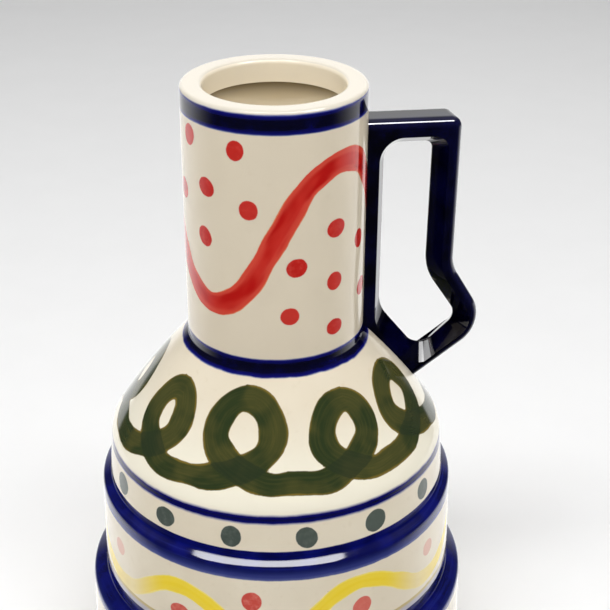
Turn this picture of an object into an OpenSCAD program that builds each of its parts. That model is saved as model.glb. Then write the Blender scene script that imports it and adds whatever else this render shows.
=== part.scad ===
// Handled vase: a stepped ceramic vase with a straight neck and one angular loop handle.
// The base sits on z = 0, the vase's axis is Z, and the handle stands out along +X.

/* [Neck and rim] */
// Outer radius of the neck
neck_r = 45; // [40:0.5:52]
// Height of the neck, from the shoulder to the rim
neck_h = 119.5; // [110:0.5:135]
// Wall of the neck, shoulder and tiers
wall = 5.5; // [4:0.25:7]
// Width of the rim, from the mouth to the neck's outer face
rim_w = 10.7; // [8:0.1:14]
// Depth of the rim ring
rim_h = 11.5; // [9:0.5:14]
// Rounding of the rim's top edges
rim_round = 2.4; // [1:0.1:3.5]

/* [Shoulder] */
// Height of the shoulder, with its upright band
shoulder_h = 76.6; // [70:0.1:84]
// Height of the upright band under the shoulder's rounded edge
band_h = 17.1; // [13:0.1:20]
// Radius of the band at its foot
band_r = 89.2; // [84:0.1:95]
// How far the band leans in, up to the rounded edge
band_lean = 1.6; // [0:0.1:3]
// Radius of the shoulder's rounded edge
edge_r = 15; // [10:0.5:18]
// Angle of the rounded edge, up from level
edge_angle = 33; // [28:1:36]

/* [Tiers] */
// Slope of the ledges on the two rolls, down and out
ledge_slope = 37; // [30:1:45]
// How far the middle roll's edge stands out from the band
middle_step = 4.5; // [3.5:0.1:7]
// Rounding of the middle roll's edge
middle_round = 2.5; // [1.5:0.1:3.5]
// Height of the middle roll, with its collar
middle_roll_h = 14.4; // [13:0.1:18]
// Height of the middle roll's upright collar, over its ledge
middle_collar = 4; // [2:0.1:5]
// Height of the middle tier's wall
middle_h = 40.5; // [34:0.1:48]
// How far the middle tier spreads from the roll's edge to its foot
middle_flare = 1.25; // [0.5:0.05:3]
// How far the lower roll's edge stands out from the middle tier
lower_step = 7.55; // [5:0.05:9]
// Rounding of the lower roll's edge
lower_round = 3; // [1.5:0.1:4]
// Height of the lower roll, with its collar
lower_roll_h = 17.5; // [16:0.1:22]
// Height of the lower roll's upright collar, over its ledge
lower_collar = 7.8; // [4:0.1:8]
// Height of the lower tier's wall
lower_h = 45; // [38:0.5:52]
// How far the lower tier spreads from the roll's edge to its foot
lower_flare = 1.2; // [0.5:0.05:3]
// Rounding of the lower tier's foot
foot_round = 8; // [6:0.5:10]
// Width of the lower tier's seat on the base disc
seat_w = 8; // [6:0.5:10]

/* [Base] */
// Thickness of the base disc
base_t = 7; // [5:0.5:9]
// Height of the foot ring
foot_h = 8; // [6:0.5:10]
// How far the foot ring is set in from the edge of the base disc
foot_inset = 1.5; // [0.5:0.1:4]
// Width of the foot ring
foot_w = 10; // [7:0.5:13]
// Rounding of the foot ring's lower edges
foot_edge = 2; // [1:0.1:3]

/* [Handle] */
// Thickness of the handle across the vase
handle_t = 19.5; // [16:0.5:22]
// Rounding of the handle's outer edges
handle_round = 2.2; // [1.5:0.1:3]
// How much the bars narrow from the middle of the handle to its faces, on the finger side
finger_d = 5.5; // [4:0.1:6]
// How much the bar along the shoulder narrows
foot_d = 7.5; // [6:0.1:8]
// How far the gap's lower corner moves out along the shoulder, from the middle to the faces
foot_out = 4.5; // [3:0.1:5]
// Drop from the rim to the top of the handle
handle_drop = 21.3; // [18:0.1:26]
// Slope of the top arm, down and out
arm_slope = 2.9; // [0:0.1:6]
// Depth of the top arm
arm_w = 14.5; // [13:0.1:16]
// Reach of the grip's outer face from the neck
grip_reach = 49.3; // [45:0.1:54]
// Width of the grip
grip_w = 13; // [12:0.1:14]
// How far the grip leans in at its lower end
grip_lean = 0.5; // [0:0.1:2]
// Height of the bend above the foot of the neck
bend_up = 26; // [22:0.5:30]
// Reach of the elbow's corner from the neck
elbow_reach = 71; // [66:0.5:75]
// Drop of the elbow's corner below the foot of the neck
elbow_drop = 10.5; // [8:0.5:13]
// Width of the bars at the elbow
elbow_w = 11.6; // [10.5:0.1:12.5]
// Slope of the lower arm, down and in
lower_arm_slope = 33; // [30:0.5:36]
// Thickness of the strap that lies along the neck
strap_t = 11.1; // [10:0.1:12]
// Thickness of the bar that lies along the shoulder
foot_bar_t = 11.5; // [10:0.1:13]
// Length of the gap's lower side, along the shoulder
foot_bar_l = 40.6; // [38:0.1:43]
// Rounding of the handle's top outer corner
top_round = 5.5; // [4:0.1:9]
// Rounding of the bend under the grip
bend_round = 12; // [9:0.1:15]
// Rounding of the gap at that bend
bend_gap_round = 18; // [14:0.5:22]
// Rounding of the elbow, outside
elbow_round = 18; // [14:0.1:21]
// Rounding of the gap at the elbow
elbow_gap_round = 7; // [5:0.1:9]
// Rounding of the gap beside the top outer corner
top_gap_round = 4; // [3:0.1:6]
// How much larger the gap's roundings are at the handle's faces
face_round = 4; // [3:0.1:5]
// Rounding of the gap's other corners
gap_round = 8; // [6:0.1:10]
// How far the handle's outline runs on inside the neck, where it is cut away
sink = 7; // [5:0.5:9]
// Where the lower arm's outline ends inside the shoulder, from the neck
arm_end = 13; // [8:0.5:16]

/* [Hidden] */
$fn = 180;
z_base = foot_h;
z_lower = z_base + base_t;
z_lower_roll = z_lower + lower_h;
z_middle = z_lower_roll + lower_roll_h;
z_middle_roll = z_middle + middle_h;
z_band = z_middle_roll + middle_roll_h;
z_neck = z_band + shoulder_h;
z_rim = z_neck + neck_h;
z_top = z_rim + rim_h;
neck_in = neck_r - wall;
mouth_r = neck_r - rim_w;
shoulder_r = band_r - band_lean;
middle_r = band_r + middle_step;
middle_foot_r = middle_r + middle_flare;
lower_r = middle_foot_r + lower_step;
lower_foot_r = lower_r + lower_flare;
base_r = lower_foot_r - foot_round;
foot_r = base_r - foot_inset;

// Each tier's wall starts at its roll's edge and spreads to its foot.
middle_ledge_z = z_band - middle_collar;
lower_ledge_z = z_middle - lower_collar;
middle_edge = [middle_r, middle_ledge_z - middle_step * tan(ledge_slope)];
lower_edge = [lower_r, lower_ledge_z - lower_step * tan(ledge_slope)];
middle_wall_r = middle_r + middle_flare * (middle_edge[1] - z_middle_roll) / (middle_edge[1] - z_middle);
lower_wall_r = lower_r + lower_flare * (lower_edge[1] - z_lower_roll) / (lower_edge[1] - z_lower);

// The shoulder's outline is two arcs that run into each other, then the straight band.
turn = [shoulder_r, z_band + band_h];
edge_c = turn - [edge_r, 0];
edge_n = [cos(edge_angle), sin(edge_angle)];
edge_p = edge_c + edge_r * edge_n;
neck_p = [neck_r, z_neck];
rise = edge_p - neck_p;
dome_r = (rise * rise) / (2 * rise * edge_n);
dome_c = edge_p - dome_r * edge_n;

// The handle's outer line and its gap, each as corners with a rounding, in the XZ plane.
// The first and last two outer corners lie inside the vase and are cut away.
function arm_z(x) = z_top - handle_drop - (x - neck_r) * tan(arm_slope);
slope_d = rise / norm(rise);
slope_n = [-slope_d[1], slope_d[0]];
grip_x = neck_r + grip_reach;
bend_p = [grip_x - grip_lean, z_neck + bend_up];
elbow_p = [neck_r + elbow_reach, z_neck - elbow_drop];
arm_p = elbow_p - (elbow_reach - arm_end) * [1, tan(lower_arm_slope)];
top_p = [grip_x, arm_z(grip_x)];
outer_corners = [
  [neck_r - sink, arm_z(neck_r - sink)],
  top_p,
  bend_p,
  elbow_p,
  arm_p,
  [neck_r - sink, elbow_p[1]]
];
hidden_round = handle_round + 1;
outer_rounds = [hidden_round, top_round, bend_round, elbow_round, hidden_round, hidden_round];

// The gap's corner beside corner b of the outer line, for a bar of width w.
function inside(a, b, c, w) =
  let (
    u = unit(b - a),
    v = unit(c - b),
    n1 = [-u[1], u[0]],
    n2 = [-v[1], v[0]]
  )
  b - w * (n1 + n2) / (1 + n1 * n2);
// The gap's corners where the bars are d thinner, and the one along the shoulder e.
function gap_at(d, e, out) =
  let (
    strap = strap_t - d,
    grip = grip_x - grip_w + d,
    arm = arm_w - d,
    foot = foot_bar_t - e,
    q = (strap - slope_n[0] * foot) / slope_d[0]
  )
  [
    [neck_r + strap, arm_z(neck_r + strap) - arm],
    [grip, arm_z(grip) - arm],
    inside(top_p, bend_p, elbow_p, grip_w - d),
    inside(bend_p, elbow_p, arm_p, elbow_w - d),
    neck_p + (foot_bar_l + out) * slope_d + foot * slope_n,
    neck_p + q * slope_d + foot * slope_n
  ];
gap_rounds = [gap_round, top_gap_round, bend_gap_round, elbow_gap_round, gap_round + 2, gap_round];
face_rounds = [for (i = [0:5]) gap_rounds[i] + (i == 2 ? -face_round : face_round)];
corner_steps = 7;
edge_steps = 5;

// Points of a rounded outline, moved out by d.
function unit(v) = v / norm(v);
function corner(a, b, c, round, d) =
  let (
    u = unit(b - a),
    w = unit(c - b),
    n1 = [-u[1], u[0]],
    n2 = [-w[1], w[0]],
    s = cross(u, w) < 0 ? 1 : -1,
    mid = b - s * round * (n1 + n2) / (1 + n1 * n2)
  )
  [for (j = [0:corner_steps])
    mid + (s * round + d) * unit(n1 * (1 - j / corner_steps) + n2 * j / corner_steps)];
function outline(p, rounds, d) =
  let (n = len(p))
  [for (i = [0:n - 1])
    each corner(p[(i + n - 1) % n], p[i], p[(i + 1) % n], rounds[i], d)];

// Half of the filled shoulder, shrunk by d.
module dome(d) {
  side = edge_p - d * edge_n;
  polygon([[0, z_band], [band_r - d, z_band], turn - [d, 0], side, [0, side[1]]]);
  intersection() {
    translate(dome_c)
      circle(r = dome_r - d, $fn = 1440);
    polygon([[0, side[1]], side, side + 6 * edge_n, [neck_r + 9, z_neck], [0, z_neck]]);
  }
  intersection() {
    translate(edge_c)
      circle(r = edge_r - d);
    polygon([edge_c, turn - [d, 0], turn + [3, 0], side + 6 * edge_n, side]);
  }
}

// Half of a roll: a short wall, a rounded edge, a sloping ledge and an upright collar.
module roll(low, wall_r, edge, round, top_r, ledge_z, top) {
  u = unit([wall_r, low] - edge);
  v = unit([top_r, ledge_z] - edge);
  half = acos(u * v) / 2;
  p = edge + round / tan(half) * u;
  q = edge + round / tan(half) * v;
  c = edge + round / sin(half) * unit(u + v);
  inner = top_r - wall;
  polygon([[inner, low], [wall_r, low], p, q, [top_r, ledge_z], [top_r, top], [inner, top]]);
  intersection() {
    translate(c)
      circle(r = round);
    polygon([c, p, edge, q]);
  }
}

module foot_ring() {
  color([0.86, 0.8, 0.71])
    rotate_extrude()
      translate([foot_r - foot_w, 0]) {
        translate([0, foot_edge])
          square([foot_w, foot_h - foot_edge]);
        translate([foot_edge, 0])
          square([foot_w - 2 * foot_edge, foot_h]);
        translate([foot_edge, foot_edge])
          circle(r = foot_edge);
        translate([foot_w - foot_edge, foot_edge])
          circle(r = foot_edge);
      }
}

module base_disc() {
  color([0.93, 0.89, 0.82])
    translate([0, 0, z_base])
      cylinder(r = base_r, h = base_t);
}

module lower_tier() {
  inner = lower_wall_r - wall;
  low = z_lower + foot_round;
  color([0.93, 0.89, 0.82])
    rotate_extrude()
      difference() {
        union() {
          translate([0, z_lower])
            square([base_r, lower_h]);
          polygon([[0, low], [lower_foot_r, low], [lower_wall_r, z_lower_roll], [0, z_lower_roll]]);
          translate([base_r, low])
            circle(r = foot_round);
        }
        polygon([
          [0, z_lower - 1],
          [base_r - seat_w, z_lower - 1],
          [base_r - seat_w, z_lower],
          [inner, low + wall],
          [inner, z_lower_roll + 1],
          [0, z_lower_roll + 1]
        ]);
      }
}

module lower_roll() {
  color([0.03, 0.04, 0.36])
    rotate_extrude()
      roll(z_lower_roll, lower_wall_r, lower_edge, lower_round, middle_foot_r, lower_ledge_z, z_middle);
}

module middle_tier() {
  color([0.93, 0.89, 0.82])
    rotate_extrude()
      polygon([
        [middle_foot_r - wall, z_middle],
        [middle_foot_r, z_middle],
        [middle_wall_r, z_middle_roll],
        [middle_wall_r - wall, z_middle_roll]
      ]);
}

module middle_roll() {
  color([0.03, 0.04, 0.36])
    rotate_extrude()
      roll(z_middle_roll, middle_wall_r, middle_edge, middle_round, band_r, middle_ledge_z, z_band);
}

module shoulder() {
  color([0.93, 0.89, 0.82])
    rotate_extrude()
      difference() {
        dome(0);
        dome(wall);
        translate([0, z_band - 1])
          square([neck_in, shoulder_h + 2]);
      }
}

module neck() {
  color([0.93, 0.89, 0.82])
    translate([0, 0, z_neck])
      difference() {
        cylinder(r = neck_r, h = neck_h);
        translate([0, 0, -1])
          cylinder(r = neck_in, h = neck_h + 2);
      }
}

module rim() {
  color([0.93, 0.89, 0.82])
    rotate_extrude()
      translate([mouth_r, z_rim]) {
        square([rim_w, rim_h - rim_round]);
        translate([rim_round, 0])
          square([rim_w - 2 * rim_round, rim_h]);
        translate([rim_round, rim_h - rim_round])
          circle(r = rim_round);
        translate([rim_w - rim_round, rim_h - rim_round])
          circle(r = rim_round);
      }
}

// A closed frame: each station is a rounded section between the outer line and the gap.
module handle_frame() {
  turns = [for (k = [0:edge_steps - 1]) 90 * k / (edge_steps - 1)];
  outer = [for (a = turns) outline(outer_corners, outer_rounds, -handle_round * (1 - cos(a)))];
  off = [for (a = turns) handle_t / 2 - handle_round + handle_round * sin(a)];
  finger_turns = [for (k = [0:edge_steps - 1]) 14 + 76 * k / (edge_steps - 1)];
  mid = outline(gap_at(0, 0, 0), gap_rounds, 0);
  face = outline(gap_at(finger_d, foot_d, foot_out), face_rounds, 0);
  gap = [for (a = finger_turns) face + (mid - face) * pow(cos(a), 1.5)];
  gap_off = [for (a = finger_turns) handle_t / 2 * pow(sin(a), 1.5)];
  n = len(outer[0]);
  e = edge_steps;
  m = 4 * e;
  stations = [for (i = [0:n - 1]) concat(
    [for (k = [0:e - 1]) [outer[k][i][0], -off[k], outer[k][i][1]]],
    [for (k = [e - 1:-1:0]) [gap[k][i][0], -gap_off[k], gap[k][i][1]]],
    [for (k = [0:e - 1]) [gap[k][i][0], gap_off[k], gap[k][i][1]]],
    [for (k = [e - 1:-1:0]) [outer[k][i][0], off[k], outer[k][i][1]]]
  )];
  ends = [[for (k = [m - 1:-1:0]) k], [for (k = [0:m - 1]) m + k]];
  sides = [for (k = [0:m - 1]) [k, (k + 1) % m, m + (k + 1) % m, m + k]];
  for (i = [0:n - 1])
    hull()
      polyhedron(points = concat(stations[i], stations[(i + 1) % n]), faces = concat(ends, sides));
}

module handle() {
  color([0.02, 0.02, 0.25])
    difference() {
      handle_frame();
      translate([0, 0, z_neck])
        cylinder(r = neck_r, h = neck_h, $fn = 360);
      rotate_extrude($fn = 360)
        dome(0);
    }
}

foot_ring();
base_disc();
lower_tier();
lower_roll();
middle_tier();
middle_roll();
shoulder();
neck();
rim();
handle();
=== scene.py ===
"""Looks for the handled vase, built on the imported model's frame.

Each section of the vase is turned in mesh code, and the handle is swept round its frame.
The painted decoration is kept as distances, in millimetres, from every vertex to the edges of
the brush strokes. The glaze materials turn those distances into colour, with brush streaks,
thin edges and a glossy, slightly wavy surface.
"""

import math

import bpy
import numpy as np
from mathutils import Matrix, Vector


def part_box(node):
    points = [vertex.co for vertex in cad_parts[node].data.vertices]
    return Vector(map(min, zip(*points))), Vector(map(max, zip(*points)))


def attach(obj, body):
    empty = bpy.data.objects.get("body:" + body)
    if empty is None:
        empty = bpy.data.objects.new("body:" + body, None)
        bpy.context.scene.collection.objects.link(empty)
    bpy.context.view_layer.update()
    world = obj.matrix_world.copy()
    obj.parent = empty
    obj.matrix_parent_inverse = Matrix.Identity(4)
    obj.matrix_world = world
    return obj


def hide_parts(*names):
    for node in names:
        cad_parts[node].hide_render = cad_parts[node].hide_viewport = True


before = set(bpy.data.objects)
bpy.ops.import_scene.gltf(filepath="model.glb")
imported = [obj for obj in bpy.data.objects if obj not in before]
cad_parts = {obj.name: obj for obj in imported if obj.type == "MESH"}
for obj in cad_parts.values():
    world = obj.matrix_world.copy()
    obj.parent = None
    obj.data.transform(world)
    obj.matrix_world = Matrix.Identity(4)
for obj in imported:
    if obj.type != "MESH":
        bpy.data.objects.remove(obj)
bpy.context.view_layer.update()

# A millimetre in metres, the distance kept where no stroke is near, how far a stroke runs on past
# its ends, the vertices measured at a time, and the angle from which an edge is sharp
MM = 0.001
FAR = 30.0
OVERLAP = 3.0
CHUNK = 1500
SHARP = math.radians(38)


def radius(node):
    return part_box(node)[1].y / MM


def low(node):
    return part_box(node)[0].z / MM


def high(node):
    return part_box(node)[1].z / MM


# Sizes in millimetres. The frame gives the radii and levels, and the rest repeats the part's sizes.
WALL = 5.5
NECK_R = radius("neck")
RIM_W = 10.7
MOUTH_R = NECK_R - RIM_W
RIM_ROUND = 2.4
BAND_R = radius("shoulder")
BAND_H = 17.1
BAND_LEAN = 1.6
EDGE_R = 15.0
EDGE_ANGLE = 33.0
DOME_INNER_TOP = 50.0
LEDGE_SLOPE = math.radians(36)
MIDDLE_STEP = 4.5
MIDDLE_ROUND = 2.5
MIDDLE_COLLAR = 4.0
MIDDLE_WALL_R = radius("middle_roll")
MIDDLE_FOOT_R = radius("middle_tier")
LOWER_STEP = 7.55
LOWER_ROUND = 3.0
LOWER_COLLAR = 7.8
LOWER_WALL_R = radius("lower_roll")
LOWER_FOOT_R = radius("lower_tier")
FOOT_ROUND = 8.0
SEAT_W = 8.0
BASE_R = radius("base_disc")
AXIS_R = 1.0
FOOT_R = radius("foot_ring")
FOOT_W = 10.0
FOOT_EDGE = 2.0
NECK_COVE = 1.2
ROLL_COVE = 1.5

Z_BASE = low("base_disc")
Z_LOWER = low("lower_tier")
Z_LOWER_ROLL = low("lower_roll")
Z_MIDDLE = low("middle_tier")
Z_MIDDLE_ROLL = low("middle_roll")
Z_BAND = low("shoulder")
Z_NECK = low("neck")
Z_RIM = low("rim")
Z_TOP = high("rim")

# Spacing of the points on the profiles, and columns round the axis
ROUND = 0.4
FINE = 1.1
COARSE = 6.0
NECK_COLUMNS = 264
BODY_COLUMNS = 480


# Profiles

def unit(v):
    return v / np.linalg.norm(v)


def polar(centre, r, degrees):
    a = np.radians(np.atleast_1d(degrees))
    return np.column_stack([centre[0] + r * np.cos(a), centre[1] + r * np.sin(a)])


def run(a, b, step):
    """Points from a up to, but without, b."""
    a, b = np.array(a, float), np.array(b, float)
    n = max(1, math.ceil(np.linalg.norm(b - a) / step))
    return a + (b - a) * np.linspace(0, 1, n, endpoint=False)[:, None]


def bend(centre, r, start, end, step):
    """Points on an arc from one angle up to, but without, the other."""
    n = max(4, math.ceil(abs(math.radians(end - start)) * r / step))
    return polar(centre, r, np.linspace(start, end, n, endpoint=False))


def cove(centre, r, wall_r, f):
    """A hollow of radius f between an upright wall and the circle it stands on."""
    x = wall_r + f
    z = centre[1] + math.sqrt((r + f) ** 2 - (x - centre[0]) ** 2)
    angle = math.degrees(math.atan2(z - centre[1], x - centre[0]))
    return (x, z), angle


TURN = np.array([BAND_R - BAND_LEAN, Z_BAND + BAND_H])
EDGE_C = TURN - [EDGE_R, 0]
EDGE_N = polar((0, 0), 1, EDGE_ANGLE)[0]
EDGE_P = EDGE_C + EDGE_R * EDGE_N
NECK_P = np.array([NECK_R, Z_NECK])
RISE = EDGE_P - NECK_P
DOME_R = RISE @ RISE / (2 * RISE @ EDGE_N)
DOME_C = EDGE_P - DOME_R * EDGE_N


def ledge_edge(top_r, top, step):
    """The sharp edge of a ledge that slopes down and out from a wall's foot."""
    return np.array([top_r + step, top - step * math.tan(LEDGE_SLOPE)])


MIDDLE_LEDGE_Z = Z_BAND - MIDDLE_COLLAR
LOWER_LEDGE_Z = Z_MIDDLE - LOWER_COLLAR
MIDDLE_EDGE = ledge_edge(BAND_R, MIDDLE_LEDGE_Z, MIDDLE_STEP)
LOWER_EDGE = ledge_edge(MIDDLE_FOOT_R, LOWER_LEDGE_Z, LOWER_STEP)


def tube(outer, inner_top, inner_low):
    """A closed section: the outer line, then down the inside."""
    first, last = outer[0], outer[-1]
    return np.vstack([
        outer[:-1],
        run(last, inner_top, COARSE),
        run(inner_top, inner_low, COARSE),
        run(inner_low, first, COARSE),
    ])


def rim_line():
    """The rim's outer wall, with the rounding over its top."""
    c = NECK_R - RIM_ROUND, Z_TOP - RIM_ROUND
    return np.vstack([
        run((NECK_R, Z_RIM), (NECK_R, c[1]), FINE),
        bend(c, RIM_ROUND, 0, 90, ROUND),
    ])


def rim_section():
    d = MOUTH_R + RIM_ROUND, Z_TOP - RIM_ROUND
    return np.vstack([
        rim_line(),
        run((NECK_R - RIM_ROUND, Z_TOP), (d[0], Z_TOP), FINE),
        bend(d, RIM_ROUND, 90, 180, ROUND),
        run((MOUTH_R, d[1]), (MOUTH_R, Z_RIM), step=2),
        run((MOUTH_R, Z_RIM), (NECK_R, Z_RIM), COARSE),
    ])


def neck_line():
    return np.vstack([run(NECK_P, (NECK_R, Z_RIM), FINE), [(NECK_R, Z_RIM)]])


def neck_section():
    return tube(neck_line(), (NECK_R - WALL, Z_RIM), (NECK_R - WALL, Z_NECK))


def shoulder_line():
    """The shoulder's outer line, from the foot of the band to the neck."""
    c, angle = cove(DOME_C, DOME_R, NECK_R, NECK_COVE)
    return np.vstack([
        run((BAND_R, Z_BAND), TURN, FINE),
        bend(EDGE_C, EDGE_R, 0, EDGE_ANGLE, step=0.9),
        bend(DOME_C, DOME_R, EDGE_ANGLE, angle, FINE),
        bend(c, NECK_COVE, angle + 180, 180, ROUND),
        [(NECK_R, c[1])],
    ])


def shoulder_section():
    inner_side = EDGE_C + (EDGE_R - WALL) * EDGE_N
    inner_r = DOME_R - WALL
    top = min(math.degrees(math.asin((Z_NECK - DOME_C[1]) / inner_r)), DOME_INNER_TOP)
    return np.vstack([
        shoulder_line(),
        run(NECK_P, (NECK_R - WALL, Z_NECK), COARSE),
        run((NECK_R - WALL, Z_NECK), polar(DOME_C, inner_r, top)[0], COARSE),
        bend(DOME_C, inner_r, top, EDGE_ANGLE, COARSE),
        run(inner_side, TURN - [WALL, 0], COARSE),
        run(TURN - [WALL, 0], (BAND_R - WALL, Z_BAND), COARSE),
        run((BAND_R - WALL, Z_BAND), (BAND_R, Z_BAND), COARSE),
    ])


def roll_line(foot, edge, round_r, top_r, ledge_z, top):
    """A roll's outer line: a short wall, the rounded edge, the ledge, a hollow and the collar."""
    foot = np.array(foot)
    u, v = unit(foot - edge), unit(np.array([top_r, ledge_z]) - edge)
    half = math.acos(u @ v) / 2
    c = edge + round_r / math.sin(half) * unit(u + v)
    low_side = math.degrees(math.atan2(u[0], -u[1]))
    tilt = 90 - math.degrees(LEDGE_SLOPE)
    p, q = polar(c, round_r, [low_side, tilt])
    n = polar((0, 0), 1, tilt)[0]
    hollow = np.array([top_r + ROLL_COVE, ledge_z + ROLL_COVE * (1 - n[0]) / n[1]])
    return np.vstack([
        run(foot, p, step=0.8),
        bend(c, round_r, low_side, tilt, step=0.5),
        run(q, hollow - ROLL_COVE * n, step=0.7),
        bend(hollow, ROLL_COVE, tilt + 180, 180, step=0.35),
        run((top_r, hollow[1]), (top_r, top), step=0.9),
        [(top_r, top)],
    ])


def middle_roll_line():
    foot = MIDDLE_WALL_R, Z_MIDDLE_ROLL
    return roll_line(foot, MIDDLE_EDGE, MIDDLE_ROUND, BAND_R, MIDDLE_LEDGE_Z, Z_BAND)


def lower_roll_line():
    foot = LOWER_WALL_R, Z_LOWER_ROLL
    return roll_line(foot, LOWER_EDGE, LOWER_ROUND, MIDDLE_FOOT_R, LOWER_LEDGE_Z, Z_MIDDLE)


def middle_tier_line():
    end = MIDDLE_WALL_R, Z_MIDDLE_ROLL
    return np.vstack([run((MIDDLE_FOOT_R, Z_MIDDLE), end, FINE), [end]])


def lower_tier_line():
    c = BASE_R, Z_LOWER + FOOT_ROUND
    end = LOWER_WALL_R, Z_LOWER_ROLL
    return np.vstack([
        bend(c, FOOT_ROUND, -90, 0, step=0.8),
        run((LOWER_FOOT_R, c[1]), end, FINE),
        [end],
    ])


def lower_tier_section():
    line = lower_tier_line()
    inner = LOWER_WALL_R - WALL
    seat = BASE_R - SEAT_W, Z_LOWER
    heel = inner, Z_LOWER + FOOT_ROUND + WALL
    return np.vstack([
        line[:-1],
        run(line[-1], (inner, Z_LOWER_ROLL), COARSE),
        run((inner, Z_LOWER_ROLL), heel, COARSE),
        run(heel, seat, COARSE),
        run(seat, line[0], COARSE),
    ])


def foot_section():
    outer = FOOT_R - FOOT_EDGE, FOOT_EDGE
    inner = FOOT_R - FOOT_W + FOOT_EDGE, FOOT_EDGE
    return np.vstack([
        bend(inner, FOOT_EDGE, 180, 270, step=0.5),
        run((inner[0], 0), (outer[0], 0), step=2),
        bend(outer, FOOT_EDGE, 270, 360, step=0.5),
        run((FOOT_R, FOOT_EDGE), (FOOT_R, Z_BASE), step=1.5),
        run((FOOT_R, Z_BASE), (FOOT_R - FOOT_W, Z_BASE), COARSE),
        run((FOOT_R - FOOT_W, Z_BASE), (FOOT_R - FOOT_W, FOOT_EDGE), step=2),
    ])


def disc_section():
    return np.vstack([
        run((AXIS_R, Z_BASE), (BASE_R, Z_BASE), COARSE),
        run((BASE_R, Z_BASE), (BASE_R, Z_LOWER), step=1.5),
        run((BASE_R, Z_LOWER), (AXIS_R, Z_LOWER), COARSE),
        [(AXIS_R, Z_LOWER)],
    ])


# Meshes

def make(name, verts, faces, uvs=None):
    mesh = bpy.data.meshes.new(name)
    mesh.from_pydata([tuple(v) for v in verts * MM], [], faces)
    mesh.validate()
    if uvs is not None:
        layer = mesh.uv_layers.new(name="OFBake")
        layer.data.foreach_set("uv", np.array(uvs, np.float32).ravel())
    mesh.shade_smooth()
    mesh.set_sharp_from_angle(angle=SHARP)
    obj = bpy.data.objects.new(name, mesh)
    bpy.context.scene.collection.objects.link(obj)
    return obj


def turned(section, angles):
    """Points (radius, level) swept to the given angles round the axis, row by row."""
    r, z = section[:, :1], section[:, 1:]
    return np.stack([r * np.cos(angles), r * np.sin(angles), z + 0 * angles], -1).reshape(-1, 3)


def lathe(name, section, columns, capped=False):
    """Turns a section round the axis. A capped section is open there, and gets two end faces."""
    rows = len(section)
    a = np.linspace(0, 2 * math.pi, columns, endpoint=False)
    verts = turned(section, a)
    lengths = np.linalg.norm(np.roll(section, -1, 0) - section, axis=1)
    v = np.concatenate([[0], np.cumsum(lengths)]) / lengths.sum()
    faces, uvs = [], []
    for i in range(rows - 1 if capped else rows):
        k = (i + 1) % rows
        for j in range(columns):
            n = (j + 1) % columns
            faces.append((i * columns + j, i * columns + n, k * columns + n, k * columns + j))
            u0, u1 = j / columns, (j + 1) / columns
            uvs += [(u0, v[i]), (u1, v[i]), (u1, v[i + 1]), (u0, v[i + 1])]
    if capped:
        faces.append(tuple(range(columns - 1, -1, -1)))
        faces.append(tuple((rows - 1) * columns + j for j in range(columns)))
        uvs = None
    return make(name, verts, faces, uvs)


def store(obj, name, values):
    """Keeps one number for each vertex, for the materials to read."""
    layer = obj.data.attributes.new(name, "FLOAT", "POINT")
    layer.data.foreach_set("value", np.ascontiguousarray(values, np.float32))


def slimmed(drawn, swag):
    """How much of its width a stroke keeps: less near a swag at its start (0) or its end (-1)."""
    if swag is None:
        return np.ones(len(drawn))
    away = np.minimum(np.abs(drawn - drawn[swag]) / SWAG_REACH, 1)
    return 1 - SWAG_SLIM * 0.5 * (1 + np.cos(np.pi * away))


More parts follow.
